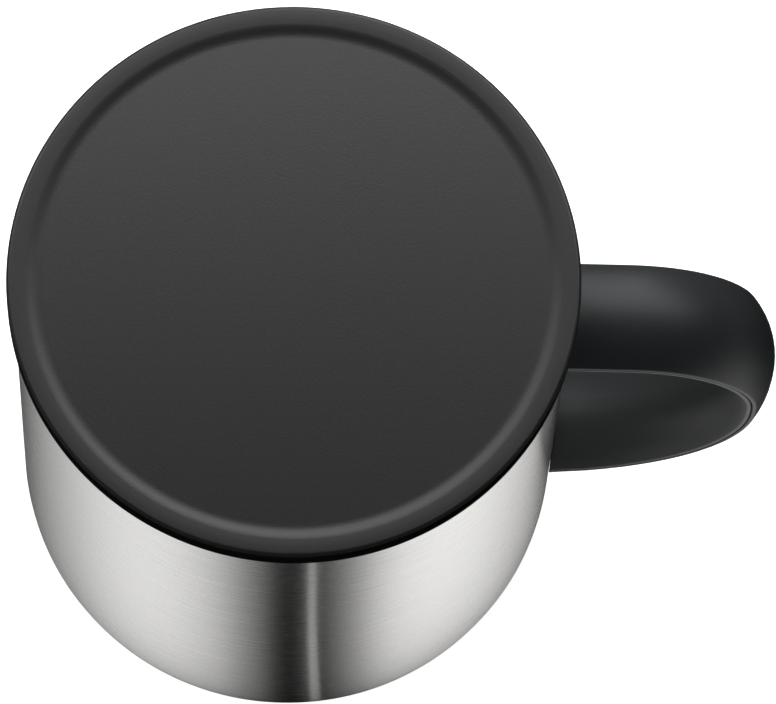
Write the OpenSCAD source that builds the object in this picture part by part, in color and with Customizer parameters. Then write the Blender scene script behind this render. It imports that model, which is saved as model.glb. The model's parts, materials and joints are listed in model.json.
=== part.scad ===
// Lidded vacuum mug: a double steel wall, a press-on lid and a loop handle of two moulded shells.
// Millimetres, +Z up. The origin is on the mug's axis at table level, and the handle points to +X.

/* [Steel body] */
// Outside diameter of the straight wall
body_d = 85; // [78:0.5:95]
// Height of the lip above the table
lip_z = 103.9; // [98:0.1:125]
// Thickness of the outer and inner steel walls
wall_t = 0.4; // [0.3:0.05:0.6]
// Width of the vacuum space between the walls
vacuum_gap = 3.4; // [2.8:0.1:5]
// Radius of the lip's roll on the drinking side
lip_roll_r = 1; // [0.8:0.1:1.4]
// Radius of the long curve below the straight wall
heel_r = 18; // [16:0.5:24]
// Radius of the tight curve down to the foot
toe_r = 8; // [6.5:0.5:9.5]
// Width of the flat ring that the mug stands on
foot_w = 2; // [1.5:0.5:3.5]
// Radius of the bend from the foot up into the collar
collar_bend_r = 1.6; // [1.2:0.1:2.2]

/* [Inner vessel] */
// Height of the underside of the vessel's floor
vessel_z = 8; // [7:0.5:12]
// Outside radius of the corner between wall and floor
vessel_corner_r = 14; // [10:0.5:18]
// Radius of the raised panel pressed in the floor
floor_panel_r = 17; // [12:0.5:18]
// Height of the raised panel
floor_step = 0.6; // [0.4:0.1:1]
// Thickness of the foil round the inner wall
foil_t = 0.2; // [0.1:0.05:0.3]
// Space between the foil and the inner wall
foil_gap = 0.1; // [0.05:0.05:0.2]
// Bare wall left above and below the foil
foil_margin = 4; // [2:0.5:10]

/* [Base] */
// Height of the underside of the plate that closes the vacuum space
plate_z = 2.4; // [2.2:0.1:2.8]
// Thickness of that plate
plate_t = 0.5; // [0.4:0.1:0.7]
// Height of the plate's welded edge above the plate
plate_edge_h = 1.1; // [0.8:0.1:1.6]
// Outside radius of the evacuation dimple
dimple_r = 6; // [5:0.5:8]
// Depth of the evacuation dimple
dimple_h = 1; // [0.8:0.1:1.2]
// Radius of the evacuation hole
vent_r = 0.8; // [0.6:0.1:1.2]
// Radius of the solder bead under the hole
bead_r = 4; // [3:0.5:4.5]
// Depth of the solder bead
bead_h = 0.7; // [0.4:0.1:0.8]
// Radius of the getter pellet
pellet_r = 4.2; // [3:0.2:5]
// Thickness of the getter pellet
pellet_h = 2.4; // [1.5:0.1:3]
// Clearance round the pellet in its clip
pellet_gap = 0.05; // [0.02:0.01:0.1]
// Height of the clip that holds the pellet
clip_h = 1.6; // [1:0.1:2]
// Thickness of the clip
clip_t = 0.3; // [0.2:0.1:0.5]
// Height of the cover pan's underside above the table
cover_z = 1; // [0.6:0.1:1.4]
// Thickness of the cover pan
cover_t = 0.5; // [0.3:0.1:0.6]
// Clearance round the cover pan
cover_gap = 0.3; // [0.1:0.1:0.6]
// Radius of the panel pressed in the cover pan
cover_panel_r = 20; // [14:0.5:23]
// Height of the panel pressed in the cover pan
cover_step = 0.4; // [0.2:0.1:0.5]

/* [Lid] */
// How far the lid stands out past the body
lid_overhang = 1; // [0.8:0.1:3]
// Height of the lid's side
skirt_h = 4.2; // [3.8:0.1:5]
// Thickness of the sunk panel
panel_t = 2.3; // [1.4:0.1:2.6]
// Depth of the sunk panel below the rim
recess = 0.5; // [0.4:0.1:1]
// Width of the flat rim round the sunk panel
rim_w = 2; // [1.6:0.1:5]
// Width of the soft step between rim and panel
step_w = 3.8; // [2.4:0.1:5]
// Radius of the rim's outer edge
edge_r = 0.6; // [0.4:0.1:1.4]
// Clearance between lid and lip, and between skirt and shoulder
lid_gap = 0.3; // [0.2:0.05:0.5]
// Depth of the plug below the lid
plug_depth = 9; // [8:0.5:16]
// Clearance between plug and mouth
plug_gap = 1; // [0.8:0.1:1.6]
// Thickness of the plug's wall behind the groove
plug_wall = 1.6; // [1.2:0.1:2.4]
// Thickness of the plug's floor
plug_floor = 1.5; // [1:0.1:2.5]
// Radius of the plug's lower edge
plug_edge_r = 1.2; // [0.6:0.1:1.4]
// Depth of the groove for the gasket
groove_d = 1.7; // [1.2:0.1:2.2]
// Height of the groove
groove_h = 2.6; // [2.2:0.1:3.2]
// Height of the plug left below the groove
groove_foot = 3.2; // [2.4:0.1:4]
// Clearance between gasket and groove
gasket_slip = 0.1; // [0.05:0.05:0.2]
// Clearance between gasket and mouth
gasket_clear = 0.2; // [0.1:0.05:0.3]
// Thickness of each of the gasket's two fins
fin_t = 0.7; // [0.5:0.1:0.9]

/* [Handle] */
// Width of the handle's strap
handle_w = 16.9; // [15:0.1:22]
// Drop from the lip to the parting line of the upper arm
handle_drop = 13.9; // [12:0.1:18]
// Straight length of the upper arm
upper_arm_len = 9.2; // [9:0.1:16]
// Radius of the upper bend, at the parting line
top_bend_r = 20; // [15:0.5:22]
// Straight length between the bends
grip_len = 2; // [1:0.5:12]
// Radius of the lower bend, at the parting line
low_bend_r = 36.8; // [34:0.1:42]
// Height of the cover's crown above the parting line
crown = 3.6; // [3.5:0.1:4.2]
// Depth of the liner's crown below the parting line
liner_depth = 4.5; // [4.4:0.1:6]
// Height of both shells' sides at their edges
side_h = 0.65; // [0.6:0.05:1]
// Radius of both shells' edges at the parting line
soft_r = 0.4; // [0.2:0.05:0.5]
// Thickness of the shells
handle_t = 1.8; // [1.4:0.1:1.9]
// Gap that shows as the parting line
parting_gap = 0.1; // [0.05:0.05:0.2]
// Clearance between the handle's ends and the body
handle_gap = 0.15; // [0.1:0.05:0.3]

/* [Handle fixing] */
// Width of the brackets
bracket_w = 6; // [5:0.5:7]
// Thickness of the brackets
bracket_t = 1; // [0.8:0.1:1]
// Distance from the body to the screws
screw_inset = 7; // [6:0.5:8]
// Bracket left past the screws
bracket_tail = 3.2; // [3:0.2:4.4]
// Thread radius of the screws
screw_r = 1.25; // [1:0.05:1.4]
// Radius of the screw heads
head_r = 2.25; // [2:0.05:2.5]
// Height of the screw heads
head_h = 1.5; // [1.2:0.1:1.6]
// Depth of the screw heads below the surface
head_sink = 0.3; // [0.2:0.1:0.4]
// Wall left between a screw head and its bracket
seat_t = 1.4; // [1.3:0.1:1.5]
// Clearance round the screws in the brackets and shells
screw_gap = 0.15; // [0.1:0.05:0.25]
// Width of the nuts across flats
nut_flats = 5; // [4.5:0.1:5.5]
// Thickness of the nuts
nut_t = 1.4; // [1.2:0.1:1.6]
// Wall of the shells' bosses round the screws
boss_wall = 1; // [0.8:0.1:1.4]
// Depth of the brackets' welded flange
flange_drop = 0.6; // [0.4:0.1:0.8]
// Length of that flange
flange_l = 1.6; // [1:0.1:2]
// Length of the screws' cross slot
slot_l = 3.2; // [2.4:0.1:3.6]
// Width of the screws' cross slot
slot_w = 0.6; // [0.4:0.05:0.8]
// Depth of the screws' cross slot
slot_depth = 0.7; // [0.5:0.05:0.9]

/* [Hidden] */
$fn = 96;

lid_color = "#48484a";
seal_color = "#d8d8d4";
steel_color = "#c8c9c8";
foil_color = "#c4c6c8";
solder_color = "#8d8f92";
handle_color = "#25272a";

// Directions in the plane of a round profile
out_dir = [1, 0];
up_dir = [0, 1];

// Radii of the two walls, from the outside in
body_r = body_d / 2;
vessel_r = body_r - wall_t - vacuum_gap;
mouth_r = vessel_r - wall_t;
lip_r = mouth_r + lip_roll_r;
shoulder_r = body_r - lip_r;
shoulder_z = lip_z - shoulder_r;

// Heel, foot and collar of the outer shell
// The long and the tight curve meet where the profile points this way from their centres
heel_dir = [0.8, -0.6];
heel_z = -heel_r * heel_dir.y + toe_r * (1 + heel_dir.y);
toe_x = body_r - heel_r * (1 - heel_dir.x) - toe_r * heel_dir.x;
foot_r = toe_x - foot_w;
collar_r = foot_r - collar_bend_r;
collar_z = plate_z + plate_t + plate_edge_h;

// Floor of the inner vessel
vessel_bend_z = vessel_z + vessel_corner_r;
floor_r = vessel_r - vessel_corner_r;

// Getter, between the dimple and the plate's edge
getter_x = (dimple_r + collar_r - plate_t) / 2;
clip_z = plate_z + plate_t;

// Lid, stacked up from the lip
lid_r = body_r + lid_overhang;
cap_z = lip_z + lid_gap;
panel_z = cap_z + panel_t;
lid_z = panel_z + recess;
skirt_z = lid_z - skirt_h;
skirt_rise = max(0, skirt_z - shoulder_z);
skirt_r = lip_r + sqrt(shoulder_r * shoulder_r - skirt_rise * skirt_rise) + lid_gap;
step_out_r = lid_r - rim_w;
step_in_r = step_out_r - step_w;
step_mid_r = (step_out_r + step_in_r) / 2;
step_mid_z = (lid_z + panel_z) / 2;
step_angle = 2 * atan(recess / step_w);
step_r = step_w / 2 / sin(step_angle);

// Plug and gasket
plug_r = mouth_r - plug_gap;
plug_z = cap_z - plug_depth;
groove_r = plug_r - groove_d;
groove_z = plug_z + groove_foot;
plug_in_r = groove_r - plug_wall;
gasket_z = groove_z + gasket_slip;
gasket_h = groove_h - 2 * gasket_slip;
fin_end_r = mouth_r - gasket_clear - fin_t / 2;

// Handle path, at the parting line: upper arm, upper bend, grip, and a lower bend that runs into the body
upper_z = lip_z - handle_drop;
upper_x = body_r + upper_arm_len;
grip_x = upper_x + top_bend_r;
top_bend_z = upper_z - top_bend_r;
low_bend_x = grip_x - low_bend_r;
low_bend_z = top_bend_z - grip_len;
low_end_angle = acos((body_r - low_bend_x) / low_bend_r);
low_screw_angle = low_end_angle - screw_inset / low_bend_r * 180 / PI;

// Section of the handle: u is outward from the loop and v across the strap
half_w = handle_w / 2;
// The arms and brackets start this far inside the body, before they are trimmed to it
arm_root = half_w;
part_u = parting_gap / 2;

// Screw seats, measured along u
liner_seat_u = -liner_depth + head_sink + head_h;
cover_seat_u = crown - head_sink - head_h;
upper_tongue_u = liner_seat_u + seat_t;
lower_tongue_u = cover_seat_u - seat_t - bracket_t;
upper_nut_u = upper_tongue_u + bracket_t;
lower_nut_u = lower_tongue_u - nut_t;
screw_len = seat_t + bracket_t + nut_t;
recess_r = head_r + screw_gap;
boss_r = recess_r + boss_wall;

// How far a cut runs past the face that it opens
cut = 1;

// A ring sector in the plane between two directions, at most a quarter turn apart
module arc_band(centre, r, t, from_dir, to_dir) {
  reach = 2 * r;
  translate(centre)
    intersection() {
      difference() {
        circle(r);
        circle(r - t);
      }
      polygon([[0, 0], reach * from_dir, reach * (from_dir + to_dir), reach * to_dir]);
    }
}

// A rectangle in the plane between two radii and two heights
module ring_box(r0, r1, z0, z1) {
  translate([r0, z0]) square([r1 - r0, z1 - z0]);
}

// A thin disc with a raised round panel, in the plane
module pressed_disc(r, z, t, panel_r, step) {
  ring_box(panel_r - t, r, z, z + t);
  ring_box(panel_r - t, panel_r, z, z + step + t);
  ring_box(0, panel_r, z + step, z + step + t);
}

// Lid

module rim_outline() {
  ring_box(step_out_r, lid_r - edge_r, cap_z, lid_z);
  ring_box(step_out_r, lid_r, cap_z, lid_z - edge_r);
  translate([lid_r - edge_r, lid_z - edge_r]) circle(edge_r);
}

module step_outline() {
  ring_box(step_mid_r, step_out_r, cap_z, step_mid_z);
  intersection() {
    ring_box(step_mid_r, step_out_r, step_mid_z, lid_z);
    translate([step_out_r, lid_z - step_r]) circle(step_r);
  }
  difference() {
    ring_box(step_in_r, step_mid_r, cap_z, step_mid_z);
    translate([step_in_r, panel_z + step_r]) circle(step_r);
  }
}

module lid_cap() {
  color(lid_color)
    rotate_extrude() {
      ring_box(0, step_in_r, cap_z, panel_z);
      step_outline();
      rim_outline();
      ring_box(skirt_r, lid_r, skirt_z, cap_z);
    }
}

module lid_plug() {
  color(lid_color)
    rotate_extrude() {
      difference() {
        union() {
          ring_box(0, plug_r - plug_edge_r, plug_z, plug_z + plug_edge_r);
          ring_box(0, plug_r, plug_z + plug_edge_r, cap_z);
          translate([plug_r - plug_edge_r, plug_z + plug_edge_r]) circle(plug_edge_r);
        }
        ring_box(0, plug_in_r, plug_z + plug_floor, cap_z + cut);
        ring_box(groove_r, plug_r + cut, groove_z, groove_z + groove_h);
      }
    }
}

module gasket_fin(z) {
  ring_box(plug_r, fin_end_r, z - fin_t / 2, z + fin_t / 2);
  translate([fin_end_r, z]) circle(fin_t / 2);
}

module lid_gasket() {
  color(seal_color)
    rotate_extrude() {
      ring_box(groove_r + gasket_slip, plug_r, gasket_z, gasket_z + gasket_h);
      gasket_fin(gasket_z + fin_t / 2);
      gasket_fin(gasket_z + gasket_h - fin_t / 2);
    }
}

// Steel walls

module outer_shell() {
  color(steel_color)
    rotate_extrude() {
      arc_band([lip_r, shoulder_z], shoulder_r, wall_t, out_dir, up_dir);
      ring_box(body_r - wall_t, body_r, heel_z, shoulder_z);
      arc_band([body_r - heel_r, heel_z], heel_r, wall_t, heel_dir, out_dir);
      arc_band([toe_x, toe_r], toe_r, wall_t, -up_dir, heel_dir);
      ring_box(foot_r, toe_x, 0, wall_t);
      arc_band([foot_r, collar_bend_r], collar_bend_r, wall_t, -out_dir, -up_dir);
      ring_box(collar_r, collar_r + wall_t, collar_bend_r, collar_z);
    }
}

module inner_wall() {
  color(steel_color)
    rotate_extrude() {
      arc_band([lip_r, lip_z - lip_roll_r], lip_roll_r, wall_t, up_dir, -out_dir);
      ring_box(mouth_r, vessel_r, vessel_bend_z, lip_z - lip_roll_r);
      arc_band([floor_r, vessel_bend_z], vessel_corner_r, wall_t, -up_dir, out_dir);
    }
}

module inner_base() {
  color(steel_color)
    rotate_extrude() pressed_disc(floor_r, vessel_z, wall_t, floor_panel_r, floor_step);
}

module heat_foil() {
  foil_r = vessel_r + foil_gap;
  color(foil_color)
    rotate_extrude()
      ring_box(foil_r, foil_r + foil_t, vessel_bend_z + foil_margin, shoulder_z - foil_margin);
}

// Base

module vacuum_base() {
  top_z = plate_z + dimple_h;
  color(steel_color)
    rotate_extrude() {
      ring_box(dimple_r - plate_t, collar_r, plate_z, plate_z + plate_t);
      ring_box(collar_r - plate_t, collar_r, plate_z, collar_z);
      ring_box(dimple_r - plate_t, dimple_r, plate_z, top_z + plate_t);
      ring_box(vent_r, dimple_r, top_z, top_z + plate_t);
    }
}

module vacuum_seal() {
  top_z = plate_z + dimple_h;
  color(solder_color)
    rotate_extrude() {
      ring_box(0, bead_r, top_z - bead_h, top_z);
      ring_box(0, vent_r, top_z - bead_h, top_z + plate_t);
    }
}

module getter_clip() {
  color(steel_color)
    translate([getter_x, 0, clip_z])
      difference() {
        cylinder(h = clip_h, r = pellet_r + pellet_gap + clip_t);
        translate([0, 0, clip_t]) cylinder(h = clip_h, r = pellet_r + pellet_gap);
      }
}

module getter_pellet() {
  color(solder_color)
    translate([getter_x, 0, clip_z + clip_t]) cylinder(h = pellet_h, r = pellet_r);
}

module base_cover() {
  pan_r = collar_r - cover_gap;
  color(steel_color)
    rotate_extrude() {
      pressed_disc(pan_r, cover_z, cover_t, cover_panel_r, cover_step);
      ring_box(pan_r - cover_t, pan_r, cover_z, plate_z);
    }
}

// Handle

// Frame at the upper screw: x outward from the loop, z towards the body
module upper_frame() {
  translate([body_r + screw_inset, 0, upper_z]) rotate([0, -90, 0]) children();
}

// The same frame at the lower screw
module lower_frame() {
  reach = low_bend_r * [cos(low_screw_angle), sin(low_screw_angle)];
  translate([low_bend_x + reach.x, 0, low_bend_z - reach.y])
    rotate([0, low_screw_angle, 0])
      mirror([0, 0, 1]) children();
}

// A bend of the handle's path, from angle a0 over the given turn
module bend(x, z, r, a0, turn) {
  translate([x, 0, z])
    rotate([90, 0, 0])
      rotate([0, 0, a0])
        rotate_extrude(angle = turn) translate([r, 0]) children();
}

// Carries a section along the handle's path and trims it at the body
module along_handle() {
  difference() {
    union() {
      translate([upper_x, 0, upper_z])
        rotate([0, -90, 0]) linear_extrude(upper_arm_len + arm_root) children();
      bend(upper_x, top_bend_z, top_bend_r, 0, 90) children();
      translate([grip_x, 0, low_bend_z]) linear_extrude(grip_len) children();
      bend(low_bend_x, low_bend_z, low_bend_r, -90, 90) children();
    }
    body_space(handle_gap);
  }
}

// The space inside the body's outer wall, with a clearance
module body_space(gap) {
  cylinder(h = lip_z, r = body_r + gap);
}

// Half a shell's side wall, from u0 to u1, with a soft outer edge at u0
module side_wall(u0, u1) {
  edge_u = u0 + soft_r;
  edge_v = half_w - soft_r;
  translate([edge_u, half_w - handle_t]) square([u1 - edge_u, handle_t]);
  translate([u0, half_w - handle_t]) square([soft_r, handle_t - soft_r]);
  translate([edge_u, edge_v]) circle(soft_r);
}

// A shell that stands on the parting line: a round crown of the given height over two short sides
module shell_section(height) {
  rise = height - side_h;
  r = (half_w * half_w + rise * rise) / (2 * rise);
  difference() {
    intersection() {
      translate([height - r, 0]) circle(r);
      union() {
        translate([part_u, handle_t - half_w]) square([height, handle_w - 2 * handle_t]);
        for (s = [0, 1]) mirror([0, s]) side_wall(part_u, height);
      }
    }
    translate([height - r, 0]) circle(r - handle_t);
  }
}

// A round bar along u from u0 to u1, in a screw's frame
module screw_bar(r, u0, u1) {
  translate([u0, 0, 0]) rotate([0, 90, 0]) cylinder(h = u1 - u0, r = r);
}

module handle_cover() {
  deep = crown - handle_t / 2;
  color(handle_color)
    difference() {
      union() {
        along_handle() shell_section(crown);
        lower_frame() screw_bar(boss_r, lower_tongue_u + bracket_t, deep);
      }
      lower_frame() {
        screw_bar(screw_r + screw_gap, lower_tongue_u, crown);
        screw_bar(recess_r, cover_seat_u, crown + cut);
      }
    }
}

module handle_liner() {
  deep = handle_t / 2 - liner_depth;
  color(handle_color)
    difference() {
      union() {
        along_handle() mirror([1, 0]) shell_section(liner_depth);
        upper_frame() screw_bar(boss_r, deep, upper_tongue_u);
      }
      upper_frame() {
        screw_bar(screw_r + screw_gap, -liner_depth, upper_tongue_u + cut);
        screw_bar(recess_r, -liner_depth - cut, liner_seat_u);
      }
    }
}

// A tongue with a welded flange, in a screw's frame
module bracket_blank(tongue_u) {
  root_z = screw_inset + arm_root;
  flange_z = screw_inset - flange_l;
  translate([tongue_u, -bracket_w / 2, -bracket_tail])
    cube([bracket_t, bracket_w, bracket_tail + root_z]);
  translate([tongue_u - flange_drop, -bracket_w / 2, flange_z])
    cube([bracket_t + flange_drop, bracket_w, root_z - flange_z]);
}

module upper_bracket() {
  color(steel_color)
    difference() {
      upper_frame() bracket_blank(upper_tongue_u);
      body_space(0);
      upper_frame() screw_bar(screw_r + screw_gap, upper_tongue_u - cut, upper_nut_u + cut);
    }
}

module lower_bracket() {
  color(steel_color)
    difference() {
      lower_frame() bracket_blank(lower_tongue_u);
      body_space(0);
      lower_frame() screw_bar(screw_r + screw_gap, lower_nut_u, cover_seat_u);
    }
}

// A pan-head screw along +x with a cross slot, from the top of its head at the origin
module screw_blank() {
  rotate([0, 90, 0])
    difference() {
      union() {
        cylinder(h = head_h, r = head_r);
        cylinder(h = head_h + screw_len, r = screw_r);
      }
      for (turn = [0, 90])
        rotate([0, 0, turn])
          translate([-slot_l / 2, -slot_w / 2, -cut]) cube([slot_l, slot_w, slot_depth + cut]);
    }
}

module upper_screw() {
  color(steel_color)
    upper_frame()
      translate([liner_seat_u - head_h, 0, 0]) screw_blank();
}

module lower_screw() {
  color(steel_color)
    lower_frame()
      translate([cover_seat_u + head_h, 0, 0]) mirror([1, 0, 0]) screw_blank();
}

// A thin hexagon nut along +x
module nut_blank() {
  rotate([0, 90, 0])
    difference() {
      cylinder(h = nut_t, d = nut_flats / cos(30), $fn = 6);
      translate([0, 0, -cut]) cylinder(h = nut_t + 2 * cut, r = screw_r);
    }
}

module upper_nut() {
  color(steel_color)
    upper_frame() translate([upper_nut_u, 0, 0]) nut_blank();
}

module lower_nut() {
  color(steel_color)
    lower_frame() translate([lower_nut_u, 0, 0]) nut_blank();
}

lid_cap();
lid_plug();
lid_gasket();
outer_shell();
inner_wall();
inner_base();
heat_foil();
vacuum_base();
vacuum_seal();
getter_clip();
getter_pellet();
base_cover();
handle_cover();
handle_liner();
upper_bracket();
lower_bracket();
upper_screw();
lower_screw();
upper_nut();
lower_nut();
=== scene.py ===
import json
from math import acos, asin, atan, ceil, copysign, cos, degrees, pi, radians, sin, sqrt

import bmesh
import bpy
from mathutils import Matrix, Vector

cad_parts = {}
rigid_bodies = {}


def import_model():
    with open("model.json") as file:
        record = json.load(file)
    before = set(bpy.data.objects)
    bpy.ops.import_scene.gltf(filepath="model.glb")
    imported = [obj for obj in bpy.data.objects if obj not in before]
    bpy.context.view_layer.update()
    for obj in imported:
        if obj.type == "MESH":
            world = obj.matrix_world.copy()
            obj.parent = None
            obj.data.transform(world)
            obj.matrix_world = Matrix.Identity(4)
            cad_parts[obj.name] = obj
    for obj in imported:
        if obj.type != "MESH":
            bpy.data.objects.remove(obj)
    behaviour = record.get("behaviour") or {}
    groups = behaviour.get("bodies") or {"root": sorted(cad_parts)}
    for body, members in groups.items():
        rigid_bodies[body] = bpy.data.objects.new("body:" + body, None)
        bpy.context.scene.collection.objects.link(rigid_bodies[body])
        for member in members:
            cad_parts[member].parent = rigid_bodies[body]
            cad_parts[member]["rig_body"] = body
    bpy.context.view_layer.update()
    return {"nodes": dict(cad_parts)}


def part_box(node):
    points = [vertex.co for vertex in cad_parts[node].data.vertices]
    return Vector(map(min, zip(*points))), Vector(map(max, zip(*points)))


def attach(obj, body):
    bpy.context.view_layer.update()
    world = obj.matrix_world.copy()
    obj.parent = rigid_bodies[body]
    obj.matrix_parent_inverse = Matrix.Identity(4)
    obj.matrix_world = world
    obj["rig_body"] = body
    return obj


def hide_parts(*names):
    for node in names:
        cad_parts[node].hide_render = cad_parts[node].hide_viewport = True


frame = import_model()
nodes = frame["nodes"]
mm = 0.001


# Lowest and highest corner of a CAD node, in mm
def boxMm(name):
    return [[value / mm for value in corner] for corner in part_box(name)]


(_, _, footZ), (_, bodyR, lipZ) = boxMm("outer_shell")
(_, _, skirtZ), (_, lidR, lidZ) = boxMm("lid_cap")


# Material tools

def toLinear(hexColour):
    channels = [int(hexColour[i:i + 2], 16) / 255 for i in (1, 3, 5)]
    return [c / 12.92 if c <= 0.04045 else ((c + 0.055) / 1.055) ** 2.4 for c in channels] + [1.0]


# Adds a node, sets its options, and sets or links its inputs
def addNode(tree, kind, inputs, **options):
    node = tree.nodes.new(kind)
    for name, value in options.items():
        setattr(node, name, value)
    for name, value in inputs.items():
        if isinstance(value, bpy.types.NodeSocket):
            tree.links.new(value, node.inputs[name])
        else:
            node.inputs[name].default_value = value
    return node


# A new material with its shader's plain sockets set, and the Object coordinates that its patterns read
def startMaterial(name, sockets):
    material = bpy.data.materials.new(name)
    material.use_nodes = True
    tree = material.node_tree
    shader = tree.nodes["Principled BSDF"]
    for socket, value in sockets.items():
        shader.inputs[socket].default_value = value
    return material, tree, shader, addNode(tree, "ShaderNodeTexCoord", {}).outputs["Object"]


# Dresses a surface with two patterns, each read over its span: tint runs from dark to pale,
# and relief raises the surface and adds the spread to its roughness
def dressSurface(tree, shader, look, tint, relief, span=(0, 1)):
    tone = addNode(tree, "ShaderNodeValToRGB", {"Fac": tint})
    for stop, spot, colour in zip(tone.color_ramp.elements, span, (look["dark"], look["pale"])):
        stop.position, stop.color = spot, toLinear(colour)
    skin = addNode(tree, "ShaderNodeMapRange", {
        "Value": relief, "From Min": span[0], "From Max": span[1],
        "To Min": look["roughness"] - look["spread"], "To Max": look["roughness"] + look["spread"]})
    bump = addNode(tree, "ShaderNodeBump", {"Height": relief, "Distance": look["depthMm"] * mm})
    tree.links.new(tone.outputs["Color"], shader.inputs["Base Color"])
    tree.links.new(skin.outputs["Result"], shader.inputs["Roughness"])
    tree.links.new(bump.outputs["Normal"], shader.inputs["Normal"])


# Plastics: injection-moulded polypropylene
# The mould's spark-eroded or satin skin gives a fine grain, and thick spots a slow change of tone

lidPlastic = {"dark": "#101010", "pale": "#131313", "roughness": 0.37, "spread": 0.04,
              "grainMm": 0.3, "depthMm": 0.014, "patchMm": 20}
plugPlastic = {"dark": "#2a2a2b", "pale": "#2e2e30", "roughness": 0.42, "spread": 0.04,
               "grainMm": 0.5, "depthMm": 0.004, "patchMm": 15}
coverPlastic = {"dark": "#121517", "pale": "#15181a", "roughness": 0.48, "spread": 0.04,
                "grainMm": 0.35, "depthMm": 0.025, "patchMm": 12}
# The liner is paler than the cover partly as painted light: its colour is lifted for the light that the
# shaded inside of the loop lacks
linerPlasticPaintedLight = {"dark": "#282a2b", "pale": "#2c2e2f", "roughness": 0.46, "spread": 0.04,
                "grainMm": 0.35, "depthMm": 0.025, "patchMm": 12}


def makeMouldedPlastic(name, look):
    material, tree, shader, place = startMaterial(name, {"IOR": 1.49})
    grain, patch = [addNode(tree, "ShaderNodeTexNoise", {
        "Vector": place, "Scale": 1 / (look[size] * mm), "Detail": 2.0}) for size in ("grainMm", "patchMm")]
    dressSurface(tree, shader, look, patch.outputs["Fac"], grain.outputs["Fac"])
    return material


# Steels: 18/8 stainless sheet, brushed on a turning belt
# Fine lines run round the mug, as rings where it is flat, and smear reflections across them into tall bands
# The real lines are about 0.05 mm apart; these are as coarse as the render needs to show them
# The pale lines are the smoother ones, so their spread is below zero

outerBrush = {"dark": "#d0cfcd", "pale": "#d4d3d1", "roughness": 0.28, "spread": -0.025, "anisotropy": 1.0,
              "lineMm": 0.3, "lengthMm": 12, "depthMm": 0.0012}
innerBrush = {"dark": "#b4b4b3", "pale": "#cbcbca", "roughness": 0.3, "spread": -0.05, "anisotropy": 0.6,
              "lineMm": 0.6, "lengthMm": 20, "depthMm": 0.003}
baseBrush = {"dark": "#adadad", "pale": "#c6c6c5", "roughness": 0.4, "spread": -0.05, "anisotropy": 0.4,
             "lineMm": 0.5, "lengthMm": 10, "depthMm": 0.004}


def makeBrushedSteel(name, look):
    material, tree, shader, place = startMaterial(name, {
        "Metallic": 1.0, "Anisotropic": look["anisotropy"], "Anisotropic Rotation": 0.25})
    line, length = 1 / (look["lineMm"] * mm), 1 / (look["lengthMm"] * mm)
    flat = addNode(tree, "ShaderNodeVectorMath", {0: place, 1: (1, 1, 0)}, operation="MULTIPLY")
    reach = addNode(tree, "ShaderNodeVectorMath", {0: flat.outputs["Vector"]}, operation="LENGTH")
    axes = addNode(tree, "ShaderNodeSeparateXYZ", {"Vector": place})
    across = addNode(tree, "ShaderNodeMath", {0: reach.outputs["Value"], 1: axes.outputs["Z"]},
                     operation="ADD")
    turned = addNode(tree, "ShaderNodeCombineXYZ", {
        "X": axes.outputs["X"], "Y": axes.outputs["Y"], "Z": across.outputs[0]})
    drawn = addNode(tree, "ShaderNodeMapping", {
        "Vector": turned.outputs["Vector"], "Scale": (length, length, line)})
    lines = addNode(tree, "ShaderNodeTexNoise", {
        "Vector": drawn.outputs["Vector"], "Scale": 1.0, "Detail": 4.0, "Roughness": 0.65})
    around = addNode(tree, "ShaderNodeTangent", {}, direction_type="RADIAL", axis="Z")
    tree.links.new(around.outputs["Tangent"], shader.inputs["Tangent"])
    dressSurface(tree, shader, look, lines.outputs["Fac"], lines.outputs["Fac"], span=(0.3, 0.7))
    return material


# Small hidden metals: each a bare sheet, bead or pellet, with the mottle that its making leaves

smallMetals = {
    "pressedSteel": {"dark": "#a8a9a9", "pale": "#bfc0c0", "roughness": 0.36, "spread": 0.06,
                     "metallic": 1.0, "mottleMm": 1.5, "depthMm": 0.01},
    "crinkledFoil": {"dark": "#c6c8ca", "pale": "#dcdde0", "roughness": 0.22, "spread": 0.06,
                     "metallic": 1.0, "mottleMm": 2.5, "depthMm": 0.12},
    "castSolder": {"dark": "#85878a", "pale": "#9b9da0", "roughness": 0.45, "spread": 0.06,
                   "metallic": 1.0, "mottleMm": 1.2, "depthMm": 0.05},
    "sinteredGetter": {"dark": "#4d4c4a", "pale": "#63625f", "roughness": 0.75, "spread": 0.06,
                       "metallic": 0.6, "mottleMm": 0.4, "depthMm": 0.05},
    "passivatedScrew": {"dark": "#9c9d9c", "pale": "#b4b5b4", "roughness": 0.3, "spread": 0.06,
                        "metallic": 1.0, "mottleMm": 0.8, "depthMm": 0.004},
}

# Silicone rubber, compression moulded: milky, a little see-through at its thin fins, with a dry satin skin

siliconeLook = {"dark": "#cfcec9", "pale": "#dad9d5", "roughness": 0.48, "spread": 0.05,
                "mottleMm": 3, "depthMm": 0.006, "softMm": 1.2}


def makeMottled(name, look, sockets, detail):
    material, tree, shader, place = startMaterial(name, sockets)
    mottle = addNode(tree, "ShaderNodeTexNoise", {
        "Vector": place, "Scale": 1 / (look["mottleMm"] * mm), "Detail": detail}).outputs["Fac"]
    dressSurface(tree, shader, look, mottle, mottle)
    return material


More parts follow.
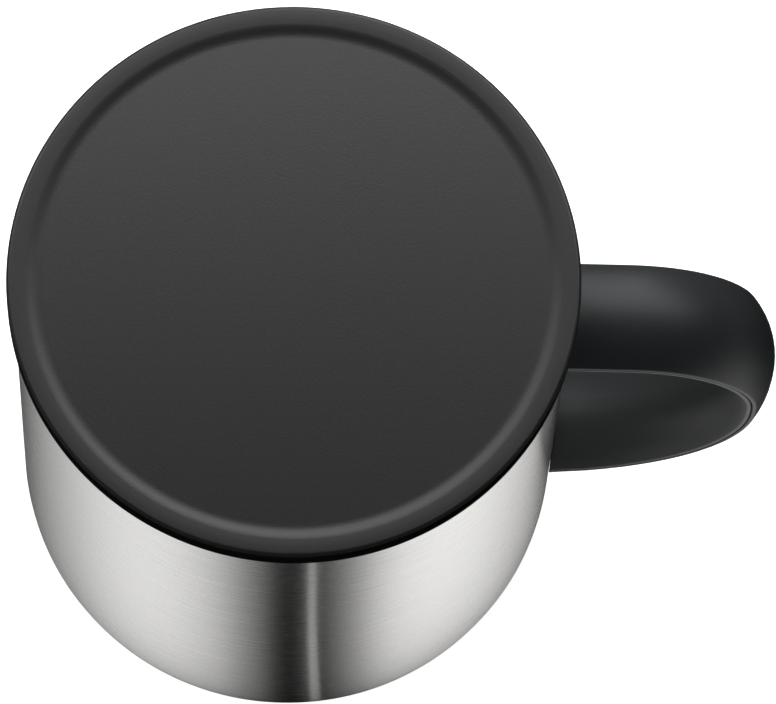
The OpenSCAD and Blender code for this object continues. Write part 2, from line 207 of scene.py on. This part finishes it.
lidFinish = makeMouldedPlastic("sparkErodedPolypropylene", lidPlastic)
plugFinish = makeMouldedPlastic("smoothPolypropylene", plugPlastic)
coverFinish = makeMouldedPlastic("satinPolypropylene", coverPlastic)
linerFinish = makeMouldedPlastic("satinPolypropyleneInsidePaintedLight", linerPlasticPaintedLight)
outerFinish = makeBrushedSteel("brushedStainless", outerBrush)
innerFinish = makeBrushedSteel("brushedStainlessInside", innerBrush)
baseFinish = makeBrushedSteel("brushedStainlessBase", baseBrush)
gasketFinish = makeMottled("mouldedSilicone", siliconeLook, {
    "IOR": 1.41, "Subsurface Weight": 0.35, "Subsurface Radius": (1.0, 0.95, 0.9),
    "Subsurface Scale": siliconeLook["softMm"] * mm}, detail=2.0)
metalFinish = {name: makeMottled(name, look, {"Metallic": look["metallic"]}, detail=3.0)
               for name, look in smallMetals.items()}
print("materials:", len(bpy.data.materials))


# Shape tools

arcStepDeg = 7  # an arc is drawn in steps of at most about this
sharpDeg = 35  # a sharper edge than this is shaded as an edge
weldMm = 0.001  # points closer than this become one


def putOnBody(bm, name, node, finish):
    mesh = bpy.data.meshes.new(name)
    bm.to_mesh(mesh)
    bm.free()
    mesh.materials.append(finish)
    mesh.shade_smooth()
    mesh.set_sharp_from_angle(angle=radians(sharpDeg))
    piece = bpy.data.objects.new(name, mesh)
    bpy.context.scene.collection.objects.link(piece)
    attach(piece, nodes[node]["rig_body"])
    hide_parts(node)
    print(name, "has", len(mesh.polygons), "faces")
    return piece


# A wire in the XZ plane, in mm: a stroke of two numbers runs straight to a point,
# and one of three turns about a centre through some degrees, from +Z towards +X
def drawWire(bm, start, strokes, closed=False):
    first = tip = bm.verts.new((start[0] * mm, 0, start[1] * mm))
    for stroke in strokes:
        if len(stroke) == 2:
            end = bm.verts.new((stroke[0] * mm, 0, stroke[1] * mm))
            bm.edges.new((tip, end))
            tip = end
        else:
            x, z, turn = stroke
            arc = bmesh.ops.spin(bm, geom=[tip], cent=(x * mm, 0, z * mm), axis=(0, 1, 0),
                                 angle=radians(turn), steps=max(3, ceil(abs(turn) / arcStepDeg)))
            tip = arc["geom_last"][0]
    if closed:
        bm.edges.new((tip, first))


# The two round strokes of a soft step that runs sideways and changes height
def softStep(x, z, run, rise):
    turn = 2 * atan(abs(rise / run))
    r = copysign(abs(run) / 2 / sin(turn), rise)
    turn = copysign(degrees(turn), -rise * run)
    return [(x, z + r, turn), (x + run, z + rise - r, -turn)]


def turnOnLathe(bm, steps=192):
    bmesh.ops.spin(bm, geom=bm.verts[:] + bm.edges[:], cent=(0, 0, 0), axis=(0, 0, 1), angle=2 * pi,
                   steps=steps, use_merge=True)
    bmesh.ops.remove_doubles(bm, verts=bm.verts, dist=weldMm * mm)
    bmesh.ops.recalc_face_normals(bm, faces=bm.faces)


# Lid: a rim that leans in a little, a soft step down to the sunk panel, and a short skirt over the shoulder

lid = {"edgeR": 0.6, "rimW": 2.2, "rimDrop": 0.22, "stepW": 2.9, "recess": 0.7, "panelT": 2.1,
       "skirtWall": 1.485, "skirtEdgeR": 0.4}


def makeLidCap():
    edge, hem = lid["edgeR"], lid["skirtEdgeR"]
    panelZ = lidZ - lid["recess"]
    capZ = panelZ - lid["panelT"]
    stepX = lidR - lid["rimW"] - lid["stepW"]
    skirtR = lidR - lid["skirtWall"]
    bm = bmesh.new()
    drawWire(bm, (0, panelZ), [
        (stepX, panelZ),
        *softStep(stepX, panelZ, lid["stepW"], lid["recess"] - lid["rimDrop"]),
        (lidR - edge, lidZ),
        (lidR - edge, lidZ - edge, 90),
        (lidR, skirtZ + hem),
        (lidR - hem, skirtZ + hem, 90),
        (skirtR, skirtZ),
        (skirtR, capZ),
        (0, capZ),
    ])
    turnOnLathe(bm)
    return putOnBody(bm, "lidCap", "lid_cap", lidFinish)


# Plug and gasket: the hollow plug under the lid, and the ring of two fins in its groove

plug = {"edgeR": 1.2, "wallIn": 34.0, "floorT": 1.5, "grooveR": 35.6, "grooveFoot": 3.2, "grooveH": 2.6}
gasket = {"finT": 0.7, "backGap": 0.1}


def makeLidPlug():
    (_, _, low), (_, r, top) = boxMm("lid_plug")
    edge = plug["edgeR"]
    grooveZ = low + plug["grooveFoot"]
    bm = bmesh.new()
    drawWire(bm, (0, low), [
        (r - edge, low),
        (r - edge, low + edge, -90),
        (r, grooveZ),
        (plug["grooveR"], grooveZ),
        (plug["grooveR"], grooveZ + plug["grooveH"]),
        (r, grooveZ + plug["grooveH"]),
        (r, top),
        (plug["wallIn"], top),
        (plug["wallIn"], low + plug["floorT"]),
        (0, low + plug["floorT"]),
    ])
    turnOnLathe(bm)
    putOnBody(bm, "lidPlug", "lid_plug", plugFinish)


def makeGasket():
    (_, _, low), (_, r, top) = boxMm("lid_gasket")
    half = gasket["finT"] / 2
    rootR = boxMm("lid_plug")[1][1]
    backR = plug["grooveR"] + gasket["backGap"]
    bm = bmesh.new()
    drawWire(bm, (backR, low), [
        (r - half, low),
        (r - half, low + half, -180),
        (rootR, low + 2 * half),
        (rootR, top - 2 * half),
        (r - half, top - 2 * half),
        (r - half, top - half, -180),
        (backR, top),
    ], closed=True)
    turnOnLathe(bm)
    putOnBody(bm, "gasketRing", "lid_gasket", gasketFinish)


# Steel walls: the outer shell from the lip down to the collar under the foot, and the inner vessel

shell = {"wall": 0.4, "shoulderR": 3.2, "heelR": 18, "heelTurn": 36.8699, "toeR": 8, "footW": 2,
         "bendR": 1.6, "collarZ": 4}
vessel = {"wall": 0.4, "rollR": 1.0, "cornerR": 14, "panelR": 17, "panelRun": 1.2}


def makeOuterShell():
    wall, heel, toe, bend = shell["wall"], shell["heelR"], shell["toeR"], shell["bendR"]
    turn = shell["heelTurn"]
    lipR = bodyR - shell["shoulderR"]
    shoulderZ = lipZ - shell["shoulderR"]
    heelX = bodyR - heel
    toeX = heelX + (heel - toe) * cos(radians(turn))
    heelZ = toe + (heel - toe) * sin(radians(turn))
    footX = toeX - shell["footW"]
    collarX = footX - bend
    bm = bmesh.new()
    drawWire(bm, (lipR, lipZ), [
        (lipR, shoulderZ, 90),
        (bodyR, heelZ),
        (heelX, heelZ, turn),
        (toeX, toe, 90 - turn),
        (footX, footZ),
        (footX, bend, 90),
        (collarX, shell["collarZ"]),
        (collarX + wall, shell["collarZ"]),
        (collarX + wall, bend),
        (footX, bend, -90),
        (toeX, wall),
        (toeX, toe, turn - 90),
        (heelX, heelZ, -turn),
        (bodyR - wall, shoulderZ),
        (lipR, shoulderZ, -90),
    ], closed=True)
    turnOnLathe(bm)
    putOnBody(bm, "outerShell", "outer_shell", outerFinish)


def makeInnerWall():
    (_, _, low), (_, lip, top) = boxMm("inner_wall")
    wall, roll, corner = vessel["wall"], vessel["rollR"], vessel["cornerR"]
    mouthR = lip - roll
    floorX = mouthR + wall - corner
    bm = bmesh.new()
    drawWire(bm, (lip, top), [
        (lip, top - roll, -90),
        (mouthR, low + corner),
        (floorX, low + corner, 90),
        (floorX, low),
        (floorX, low + corner, -90),
        (mouthR + wall, top - roll),
        (lip, top - roll, 90),
    ], closed=True)
    turnOnLathe(bm)
    putOnBody(bm, "innerWall", "inner_wall", innerFinish)


def makeInnerBase():
    (_, _, low), (_, r, top) = boxMm("inner_base")
    wall, run = vessel["wall"], vessel["panelRun"]
    stepX = vessel["panelR"] - run
    bm = bmesh.new()
    drawWire(bm, (0, top), [
        (stepX, top),
        *softStep(stepX, top, run, low + wall - top),
        (r, low + wall),
        (r, low),
        (stepX + run, low),
        *softStep(stepX + run, low, -run, top - wall - low),
        (0, top - wall),
    ])
    turnOnLathe(bm)
    putOnBody(bm, "innerBase", "inner_base", innerFinish)


# Base cover: a shallow pressed pan inside the foot

basePan = {"wall": 0.5, "bendR": 0.8, "panelR": 20, "panelRise": 0.4, "panelRun": 1.4}


def makeBaseCover():
    (_, _, low), (_, r, top) = boxMm("base_cover")
    wall, bend, run, rise = basePan["wall"], basePan["bendR"], basePan["panelRun"], basePan["panelRise"]
    stepX = basePan["panelR"] - run
    bm = bmesh.new()
    drawWire(bm, (0, low + rise), [
        (stepX, low + rise),
        *softStep(stepX, low + rise, run, -rise),
        (r - bend, low),
        (r - bend, low + bend, -90),
        (r, top),
        (r - wall, top),
        (r - wall, low + bend),
        (r - bend, low + bend, 90),
        (stepX + run, low + wall),
        *softStep(stepX + run, low + wall, -run, rise),
        (0, low + rise + wall),
    ])
    turnOnLathe(bm)
    putOnBody(bm, "baseCover", "base_cover", baseFinish)


# Handle: two moulded shells that meet at a fine line along the strap's edges
# Path sizes are at that line: a straight upper arm, a bend, a short grip and a long bend back to the body

handle = {"halfW": 8.45, "wall": 1.8, "crown": 3.6, "linerDepth": 4.5, "sideH": 0.65, "edgeR": 0.5,
          "softR": 0.3, "lineGap": 0.1, "drop": 13.9, "armL": 9.2, "topBendR": 20, "gripL": 2,
          "lowBendR": 36.8, "lowTurn": 70, "bodyGap": 0.15, "screwIn": 7, "holeR": 2.4, "drillL": 7.2}
armZ = lipZ - handle["drop"]
armX = bodyR + handle["armL"]
topBend = Vector((armX, 0, armZ - handle["topBendR"])) * mm
lowBend = topBend + Vector((handle["topBendR"] - handle["lowBendR"], 0, -handle["gripL"])) * mm
bodyFitR = (bodyR + handle["bodyGap"]) * mm


def vertsOf(geom):
    return [item for item in geom if isinstance(item, bmesh.types.BMVert)]


def edgesOf(geom):
    return [item for item in geom if isinstance(item, bmesh.types.BMEdge)]


# Carries half a section, drawn with x across the strap and z outwards, along the handle
def sweepAlongHandle(bm):
    bmesh.ops.mirror(bm, geom=bm.verts[:] + bm.edges[:], axis="X", merge_dist=weldMm * mm)
    bmesh.ops.rotate(bm, verts=bm.verts, cent=(0, 0, 0), matrix=Matrix.Rotation(pi / 2, 3, "Z"))
    bmesh.ops.translate(bm, verts=bm.verts, vec=(0, 0, armZ * mm))
    root = bm.edges[:]
    for vert in bm.verts:
        vert.co.x = sqrt(bodyFitR ** 2 - vert.co.y ** 2)
    arm = bmesh.ops.extrude_edge_only(bm, edges=root)["geom"]
    for vert in vertsOf(arm):
        vert.co.x = armX * mm
    bend = bmesh.ops.spin(bm, geom=vertsOf(arm) + edgesOf(arm), cent=topBend, axis=(0, 1, 0),
                          angle=pi / 2, steps=24)
    grip = bmesh.ops.extrude_edge_only(bm, edges=edgesOf(bend["geom_last"]))["geom"]
    bmesh.ops.translate(bm, verts=vertsOf(grip), vec=(0, 0, -handle["gripL"] * mm))
    bend = bmesh.ops.spin(bm, geom=vertsOf(grip) + edgesOf(grip), cent=lowBend, axis=(0, 1, 0),
                          angle=radians(handle["lowTurn"]), steps=28)
    foot = bmesh.ops.extrude_edge_only(bm, edges=edgesOf(bend["geom_last"]))["geom"]
    for vert in vertsOf(foot):
        reach = Vector((vert.co.x - lowBend.x, vert.co.z - lowBend.z)).length
        vert.co.x = sqrt(bodyFitR ** 2 - vert.co.y ** 2)
        vert.co.z = lowBend.z - sqrt(reach ** 2 - (vert.co.x - lowBend.x) ** 2)
    bmesh.ops.edgeloop_fill(bm, edges=root)
    bmesh.ops.edgeloop_fill(bm, edges=edgesOf(foot))
    bmesh.ops.remove_doubles(bm, verts=bm.verts, dist=weldMm * mm)
    bmesh.ops.recalc_face_normals(bm, faces=bm.faces)


# A round hole through a shell's wall, where a screw's head sits
def drillHole(piece, spot, tilt):
    holeR = handle["holeR"] * mm
    bm = bmesh.new()
    bmesh.ops.create_cone(bm, cap_ends=True, segments=48, radius1=holeR, radius2=holeR,
                          depth=handle["drillL"] * mm,
                          matrix=Matrix.Translation(spot) @ Matrix.Rotation(tilt, 4, "Y"))
    mesh = bpy.data.meshes.new("drill")
    bm.to_mesh(mesh)
    bm.free()
    drill = bpy.data.objects.new("drill", mesh)
    bpy.context.scene.collection.objects.link(drill)
    cut = piece.modifiers.new("hole", "BOOLEAN")
    cut.operation, cut.solver, cut.object = "DIFFERENCE", "EXACT", drill
    drilled = bpy.data.meshes.new_from_object(piece.evaluated_get(bpy.context.evaluated_depsgraph_get()))
    piece.modifiers.remove(cut)
    drilled.set_sharp_from_angle(angle=radians(sharpDeg))
    whole, piece.data = piece.data, drilled
    bpy.data.meshes.remove(whole)
    bpy.data.objects.remove(drill)
    bpy.data.meshes.remove(mesh)


# Half the section of a hollow shell that stands on the parting line: a round crown over a short side
def drawShell(bm, height):
    line, soft, edge, side = handle["lineGap"] / 2, handle["softR"], handle["edgeR"], handle["halfW"]
    rise = height - handle["sideH"]
    crownR = (side ** 2 + rise ** 2) / (2 * rise)
    crownZ = height - crownR
    edgeZ = crownZ + sqrt((crownR - edge) ** 2 - (side - edge) ** 2)
    edgeTurn = degrees(asin((side - edge) / (crownR - edge)))
    innerR = crownR - handle["wall"]
    innerTurn = degrees(acos((line - crownZ) / innerR))
    drawWire(bm, (0, height), [
        (0, crownZ, edgeTurn),
        (side - edge, edgeZ, 90 - edgeTurn),
        (side, line + soft),
        (side - soft, line + soft, 90),
        (innerR * sin(radians(innerTurn)), line),
        (0, crownZ, -innerTurn),
    ])


def makeHandleCover():
    bendR = handle["lowBendR"]
    bm = bmesh.new()
    drawShell(bm, handle["crown"])
    sweepAlongHandle(bm)
    piece = putOnBody(bm, "handleCover", "handle_cover", coverFinish)
    down = acos((bodyR - lowBend.x / mm) / bendR) - handle["screwIn"] / bendR
    screwWay = Vector((cos(down), 0, -sin(down)))
    drillHole(piece, lowBend + screwWay * (bendR + handle["crown"]) * mm, pi / 2 + down)


def makeHandleLiner():
    bm = bmesh.new()
    drawShell(bm, handle["linerDepth"])
    bmesh.ops.scale(bm, vec=(1, 1, -1), verts=bm.verts)
    sweepAlongHandle(bm)
    piece = putOnBody(bm, "handleLiner", "handle_liner", linerFinish)
    drillHole(piece, Vector((bodyR + handle["screwIn"], 0, armZ - handle["linerDepth"])) * mm, 0)


lidPiece = makeLidCap()
makeLidPlug()
makeGasket()
makeOuterShell()
makeInnerWall()
makeInnerBase()
makeBaseCover()
makeHandleCover()
makeHandleLiner()


# CAD nodes that keep their shape

keptNodes = {"vacuum_base": "pressedSteel", "getter_clip": "pressedSteel", "heat_foil": "crinkledFoil",
             "vacuum_seal": "castSolder", "getter_pellet": "sinteredGetter",
             "upper_bracket": "pressedSteel", "lower_bracket": "pressedSteel",
             "upper_screw": "passivatedScrew", "lower_screw": "passivatedScrew",
             "upper_nut": "passivatedScrew", "lower_nut": "passivatedScrew"}
for node, metal in keptNodes.items():
    nodes[node].data.materials.clear()
    nodes[node].data.materials.append(metalFinish[metal])
print("kept nodes:", len(keptNodes))


# Camera: the photo's view, from steeply above, in degrees, mm and pixels of the 776 x 704 frame

view = {"elevation": 73.6, "roll": 4.68, "turn": -3.5, "distance": 1218, "asideMm": -14.2, "upMm": 11.1,
        "focalPx": 8062, "framePx": 776, "sensorMm": 36, "farM": 50}


def placeCamera():
    e, roll = radians(view["elevation"]), radians(view["roll"])
    turn = Matrix.Rotation(radians(view["turn"]), 3, "Z")
    ahead = turn @ Vector((0, cos(e), -sin(e)))
    level, upright = turn @ Vector((1, 0, 0)), turn @ Vector((0, sin(e), cos(e)))
    right = cos(roll) * level + sin(roll) * upright
    up = cos(roll) * upright - sin(roll) * level
    spot = Vector((0, 0, lidZ)) - ahead * view["distance"] - right * view["asideMm"] - up * view["upMm"]
    data = bpy.data.cameras.new("photoCamera")
    data.sensor_fit, data.sensor_width = "HORIZONTAL", view["sensorMm"]
    data.lens = view["focalPx"] / view["framePx"] * data.sensor_width
    data.clip_end = view["farM"]
    camera = bpy.data.objects.new("photoCamera", data)
    camera.matrix_world = Matrix.Translation(spot * mm) @ Matrix((right, up, -ahead)).transposed().to_4x4()
    bpy.context.scene.collection.objects.link(camera)
    bpy.context.scene.camera = camera


# Studio sheets: flat pieces of the set, which are not part of the mug

def laySheet(bm, name, material):
    mesh = bpy.data.meshes.new(name)
    bm.to_mesh(mesh)
    bm.free()
    mesh.materials.append(material)
    sheet = bpy.data.objects.new(name, mesh)
    bpy.context.scene.collection.objects.link(sheet)
    return sheet


# Floor: a wide pale sheet that keeps the shadow, lifted to white where it is seen

floorLook = {"sizeM": 12, "colour": "#f2f2f2", "lift": 0.8}


def makeFloor():
    bm = bmesh.new()
    bmesh.ops.create_grid(bm, x_segments=8, y_segments=8, size=floorLook["sizeM"] / 2)
    material, tree, shader, _ = startMaterial("paleFloor", {
        "Base Color": toLinear(floorLook["colour"]), "Roughness": 0.9, "Specular IOR Level": 0.0,
        "Emission Color": (1, 1, 1, 1)})
    rays = addNode(tree, "ShaderNodeLightPath", {}).outputs
    seen = rays["Is Camera Ray"]
    for kind in ("Is Glossy Ray", "Is Transmission Ray"):
        seen = addNode(tree, "ShaderNodeMath", {0: seen, 1: rays[kind]}, operation="MAXIMUM").outputs[0]
    lift = addNode(tree, "ShaderNodeMath", {0: seen, 1: floorLook["lift"]}, operation="MULTIPLY")
    tree.links.new(lift.outputs[0], shader.inputs["Emission Strength"])
    laySheet(bm, "studioFloor", material)


# Card of painted reflections: a glowing sheet on the floor round the mug, which shows only in the mug's
# gloss
# Its stripes are painted reflections that fan out towards the camera: black in front, with one bright slit
# as a painted glint, and white at both sides
# The brushing smears them into tall bands, and they fade to the back and into a painted shadow under the
# mug, so its edges darken
# A painted shade on the handle's side stands for the handle that the wall mirrors there
# Stripes, slit and shade each fan out from a point, given in mm to the right of the mug's axis and behind it
# Their angles are in degrees to the right, as the camera sees it
# The lid is shielded from the card's light, so its skirt stays dark

card = {
    "innerMm": 36, "outerMm": 800, "heightMm": 0.3,
    "light": 1.82, "fullMm": -60, "goneMm": 20,  # in front, by the distance behind the axis
    "backLight": 0.2, "backMm": (60, 130),  # behind, from none to all of it
    # shadowAt and shadowMm place the painted contact shadow under the mug
    "shadowAt": (1, 0, 0), "shadowMm": (48.4, 50.2),  # under the mug, from black to lit
    "fan": (4, -16), "endDeg": 150,
    "stripes": {-140: 0.0, -120: 0.05, -100: 0.18, -84: 0.45, -70: 0.58, -58: 0.72, -47: 0.78, -38: 0.75,
                -30: 0.66, -22: 0.52, -14: 0.28, -8: 0.15, -3: 0.04, 2: 0.0, 8: 0.02, 14: 0.05, 20: 0.16,
                26: 0.32, 32: 0.54, 38: 0.72, 47: 0.85, 58: 0.91, 70: 0.92, 85: 0.86},
    "slit": {"fan": (0, 12), "deg": 9.45, "halfDeg": 0.93, "light": 0.33},
    "shade": {"fan": (0, 19), "deg": (72.4, 73.7), "left": 0.1, "reachMm": (140, 300)},
}


def makeCard():
    turn, end, slit, shade = radians(view["turn"]), radians(card["endDeg"]), card["slit"], card["shade"]
    bm = bmesh.new()
    drawWire(bm, (card["innerMm"], card["heightMm"]), [(card["outerMm"], card["heightMm"])])
    turnOnLathe(bm, steps=64)
    material, tree, shader, place = startMaterial("paintedReflectionCard", {
        "Base Color": (0, 0, 0, 1), "Specular IOR Level": 0.0, "Emission Color": (1, 1, 1, 1)})

    ways = (cos(turn), sin(turn), 0), (-sin(turn), cos(turn), 0)
    right, back = [addNode(tree, "ShaderNodeVectorMath", {0: place, 1: way},
                           operation="DOT_PRODUCT").outputs["Value"] for way in ways]
    angles = []
    for fanRight, fanBack in (card["fan"], slit["fan"], shade["fan"]):
        across = addNode(tree, "ShaderNodeMath", {0: right, 1: fanRight * mm}, operation="SUBTRACT")
        ahead = addNode(tree, "ShaderNodeMath", {0: fanBack * mm, 1: back}, operation="SUBTRACT")
        angle = addNode(tree, "ShaderNodeMath", {0: across.outputs[0], 1: ahead.outputs[0]},
                        operation="ARCTAN2")
        angles.append(angle.outputs[0])
    stripeAngle, slitAngle, shadeAngle = angles

    # The stripes: painted reflections, read by angle about the fan's point
    share = addNode(tree, "ShaderNodeMapRange", {"Value": stripeAngle, "From Min": -end, "From Max": end})
    stripes = addNode(tree, "ShaderNodeValToRGB", {"Fac": share.outputs["Result"]})
    stops = stripes.color_ramp.elements
    stops.remove(stops[1])
    for spot, light in card["stripes"].items():
        stop = stops.new((spot + card["endDeg"]) / (2 * card["endDeg"]))
        stop.color = (light, light, light, 1)
    stops.remove(stops[0])
    opening = addNode(tree, "ShaderNodeMath", {
        0: slitAngle, 1: radians(slit["deg"]), 2: radians(slit["halfDeg"])}, operation="COMPARE")
    tones = addNode(tree, "ShaderNodeMath", {
        0: opening.outputs[0], 1: slit["light"], 2: stripes.outputs["Color"]}, operation="MULTIPLY_ADD")

    front = addNode(tree, "ShaderNodeMapRange", {
        "Value": back, "From Min": card["fullMm"] * mm, "From Max": card["goneMm"] * mm,
        "To Min": card["light"], "To Max": 0.0})
    behind = addNode(tree, "ShaderNodeMapRange", {
        "Value": back, "From Min": card["backMm"][0] * mm, "From Max": card["backMm"][1] * mm,
        "To Max": card["backLight"]})
    # The shade: painted shade near the handle, standing for the handle's reflection in the wall
    depth = addNode(tree, "ShaderNodeMapRange", {
        "Value": right, "From Min": shade["reachMm"][0] * mm, "From Max": shade["reachMm"][1] * mm,
        "To Min": shade["left"], "To Max": 1.0})
    shaded = addNode(tree, "ShaderNodeMapRange", {
        "Value": shadeAngle, "From Min": radians(shade["deg"][0]), "From Max": radians(shade["deg"][1]),
        "To Min": 1.0, "To Max": depth.outputs["Result"]})
    # Painted contact shadow under the mug, from black to lit
    reach = addNode(tree, "ShaderNodeVectorMath", {0: place, 1: [part * mm for part in card["shadowAt"]]},
                    operation="DISTANCE")
    under = addNode(tree, "ShaderNodeMapRange", {
        "Value": reach.outputs["Value"], "From Min": card["shadowMm"][0] * mm,
        "From Max": card["shadowMm"][1] * mm})
    lit = addNode(tree, "ShaderNodeMath", {
        0: front.outputs["Result"], 1: shaded.outputs["Result"], 2: behind.outputs["Result"]},
        operation="MULTIPLY_ADD")
    for part in (under.outputs["Result"], tones.outputs[0]):
        lit = addNode(tree, "ShaderNodeMath", {0: lit.outputs[0], 1: part}, operation="MULTIPLY")
    tree.links.new(lit.outputs[0], shader.inputs["Emission Strength"])

    sheet = laySheet(bm, "paintedReflectionCard", material)
    sheet.visible_camera = sheet.visible_diffuse = sheet.visible_shadow = False
    shielded = bpy.data.collections.new("shieldedFromCard")
    shielded.objects.link(lidPiece)
    shielded.collection_objects[0].light_linking.link_state = "EXCLUDE"
    sheet.light_linking.receiver_collection = shielded


# Light: soft boxes, by the compass seen from above (0 is the camera's side, 90 the handle's),
# in degrees and metres
# The two behind the mug draw the glow on the lid and the handle; the other two are kept out of the gloss

softBoxes = {
    "backBox": {"compass": -178, "elevation": 59, "away": 0.26, "size": (0.55, 0.11), "watts": 0.67,
                "colour": "#ffffff", "gloss": True},
    "lowBox": {"compass": 170, "elevation": 33, "away": 0.49, "size": (0.21, 0.1), "watts": 0.5,
               "colour": "#f2fbff", "gloss": True},
    "leftBox": {"compass": -95, "elevation": 35, "away": 1.1, "size": (0.7, 0.7), "watts": 2,
                "colour": "#ffffff", "gloss": False},
    "fillBox": {"compass": -25, "elevation": 50, "away": 1.2, "size": (0.8, 0.8), "watts": 4,
                "colour": "#ffffff", "gloss": False},
}
aimMm = 60  # the height on the mug's axis that they point at


def placeLights():
    aim = Vector((0, 0, aimMm * mm))
    for name, box in softBoxes.items():
        around, above = radians(box["compass"]), radians(box["elevation"])
        spot = aim + box["away"] * Vector((cos(above) * sin(around), -cos(above) * cos(around), sin(above)))
        data = bpy.data.lights.new(name, "AREA")
        data.shape = "RECTANGLE"
        data.size, data.size_y = box["size"]
        data.energy = box["watts"]
        data.color = toLinear(box["colour"])[:3]
        lamp = bpy.data.objects.new(name, data)
        lamp.visible_glossy = box["gloss"]
        facing = (aim - spot).to_track_quat("-Z", "Y").to_matrix().to_4x4()
        lamp.matrix_world = Matrix.Translation(spot) @ facing
        bpy.context.scene.collection.objects.link(lamp)


# Studio room: dim walls, palest behind the mug and darkest round the camera, and a dark ceiling

room = {"back": 0.2, "front": 0.05, "compass": -150, "blend": 0.6,
        "ceiling": 0.088, "wallTop": 0.3, "ceilingStart": 0.75}


def makeRoom():
    world = bpy.data.worlds.new("studioRoom")
    bpy.context.scene.world = world
    world.use_nodes = True
    tree = world.node_tree
    background = tree.nodes["Background"]
    background.inputs["Color"].default_value = (1, 1, 1, 1)
    way = addNode(tree, "ShaderNodeTexCoord", {}).outputs["Generated"]
    around = radians(room["compass"])
    behind = addNode(tree, "ShaderNodeVectorMath", {0: way, 1: (sin(around), -cos(around), 0)},
                     operation="DOT_PRODUCT")
    wall = addNode(tree, "ShaderNodeMapRange", {
        "Value": behind.outputs["Value"], "From Min": -room["blend"], "From Max": room["blend"],
        "To Min": room["front"], "To Max": room["back"]}, interpolation_type="SMOOTHSTEP")
    height = addNode(tree, "ShaderNodeSeparateXYZ", {"Vector": way})
    level = addNode(tree, "ShaderNodeMapRange", {
        "Value": height.outputs["Z"], "From Min": room["wallTop"], "From Max": room["ceilingStart"],
        "To Min": wall.outputs["Result"], "To Max": room["ceiling"]}, interpolation_type="SMOOTHSTEP")
    tree.links.new(level.outputs["Result"], background.inputs["Strength"])


placeCamera()
makeFloor()
makeCard()
placeLights()
makeRoom()
bpy.context.scene.view_settings.view_transform = "Standard"
print("camera, floor and lights placed")
